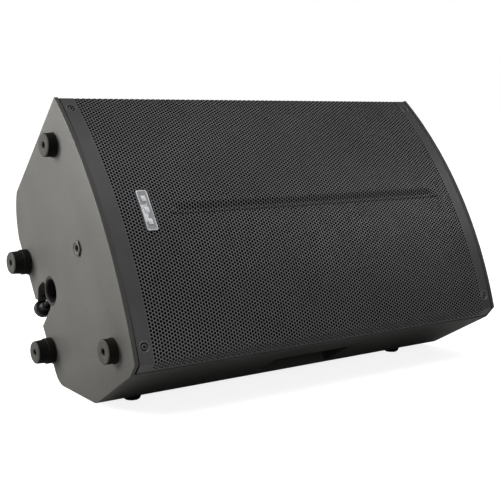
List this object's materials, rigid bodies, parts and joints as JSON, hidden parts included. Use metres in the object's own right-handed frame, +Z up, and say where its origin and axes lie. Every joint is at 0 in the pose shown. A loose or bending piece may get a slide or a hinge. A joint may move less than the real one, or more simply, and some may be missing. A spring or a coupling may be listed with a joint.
{
  "type": "pa speaker cabinet",
  "caption": "Moulded two-way loudspeaker cabinet lying as a floor wedge, with curved grille, end feet, pole socket and rear amplifier panel.",
  "frame": {"origin": "on the floor, under the middle of the cabinet's bounding box", "axes": "+X along the cabinet from its bottom end to its top end, +Z up, and the grille faces -Y and up"},
  "size_m": [0.7212, 0.4474, 0.4444],
  "materials": {
    "housing": "fine pebbled moulded polypropylene",
    "plastic": "black moulded plastic",
    "rubber": "black rubber",
    "grille": "powder-coated perforated steel",
    "badge": "satin",
    "foam": "open-cell foam",
    "black_steel": "black coated steel",
    "zinc": "bright zinc plate",
    "paper": "coated paper pulp",
    "coil": "wound copper on a former",
    "cloth": "resin-treated cloth",
    "cast_metal": "black die-cast aluminium",
    "magnet": "dark plated steel",
    "board": "glass-epoxy circuit board",
    "lens": "clear green",
    "button": "grey moulded plastic"
  },
  "bodies": {
    "cabinet": {"rear_shell": "housing", "front_baffle": "plastic", "side_handle_cup_upper": "housing", "side_handle_cup_lower": "housing", "top_handle_cup": "housing", "grille": "grille", "grille_foam": "foam", "badge": "badge", "grille_screw_1": "black_steel", "grille_screw_2": "black_steel", "grille_screw_3": "black_steel", "grille_screw_4": "black_steel", "foot_short_upper": "rubber", "foot_screw_short_upper": "zinc", "foot_tall_upper": "rubber", "foot_screw_tall_upper": "zinc", "foot_short_lower": "rubber", "foot_screw_short_lower": "zinc", "foot_tall_lower": "rubber", "foot_screw_tall_lower": "zinc", "monitor_pad_1": "rubber", "monitor_pad_2": "rubber", "monitor_pad_3": "rubber", "monitor_pad_4": "rubber", "rigging_insert_bottom": "black_steel", "rigging_insert_top_upper": "black_steel", "rigging_insert_top_lower": "black_steel", "pole_socket_cup": "housing", "woofer_basket": "cast_metal", "woofer_surround": "rubber", "woofer_spider": "cloth", "woofer_magnet": "magnet", "horn_flare": "plastic", "compression_driver": "magnet", "port_tube_upper": "plastic", "port_tube_lower": "plastic", "amp_panel": "black_steel", "heat_sink": "cast_metal", "input_socket_1": "plastic", "input_socket_2": "plastic", "link_socket": "plastic", "status_lens": "lens", "mains_inlet": "plastic", "power_rocker_frame": "plastic", "amp_board": "board", "mains_transformer": "magnet", "reservoir_capacitor": "plastic"},
    "cone": {"woofer_cone": "paper", "woofer_dust_cap": "paper", "woofer_voice_coil": "coil"},
    "lock_stud": {"pole_lock_stud": "zinc"},
    "lock_knob": {"pole_lock_knob": "plastic"},
    "level_1": {"level_knob_1": "plastic"},
    "level_2": {"level_knob_2": "plastic"},
    "main_level": {"main_level_knob": "plastic"},
    "eq_key": {"eq_button": "button"},
    "mic_line_key": {"mic_line_button": "button"},
    "power_key": {"power_rocker": "plastic"}
  },
  "joints": [
    {"name": "cone_travel", "type": "slide", "parent": "cabinet", "child": "cone", "axis": [0, -0.849, 0.5284], "range_m": [-0.008, 0.008], "stiffness_N_per_m": 6000},
    {"name": "lock_knob_turn", "type": "hinge", "parent": "lock_stud", "child": "lock_knob", "pos_m": [-0.32155, 0.11326, 0.11501], "axis": [0, -0.849, 0.5284], "range_deg": [0, 864]},
    {"name": "lock_stud_travel", "type": "slide", "parent": "cabinet", "child": "lock_stud", "axis": [0, -0.849, 0.5284], "range_m": [0, 0.003]},
    {"name": "level_1_turn", "type": "hinge", "parent": "cabinet", "child": "level_1", "pos_m": [0.01745, 0.17269, 0.07802], "axis": [0, 0.849, -0.5284], "range_deg": [-145, 145]},
    {"name": "level_2_turn", "type": "hinge", "parent": "cabinet", "child": "level_2", "pos_m": [0.05345, 0.17269, 0.07802], "axis": [0, 0.849, -0.5284], "range_deg": [-145, 145]},
    {"name": "main_level_turn", "type": "hinge", "parent": "cabinet", "child": "main_level", "pos_m": [0.08945, 0.17269, 0.07802], "axis": [0, 0.849, -0.5284], "range_deg": [-145, 145]},
    {"name": "eq_push", "type": "slide", "parent": "cabinet", "child": "eq_key", "axis": [0, -0.849, 0.5284], "range_m": [0, 0.0025], "stiffness_N_per_m": 300, "springref_m": -0.001},
    {"name": "mic_line_push", "type": "slide", "parent": "cabinet", "child": "mic_line_key", "axis": [0, -0.849, 0.5284], "range_m": [0, 0.0025], "stiffness_N_per_m": 300, "springref_m": -0.001},
    {"name": "power_rock", "type": "hinge", "parent": "cabinet", "child": "power_key", "pos_m": [0.13145, 0.15131, 0.06071], "axis": [1, 0, 0], "range_deg": [0, 22]}
  ],
  "couplings": [
    {"joint": "lock_knob_turn", "follows": "lock_stud_travel", "rad_per_m": 5026.5}
  ]
}
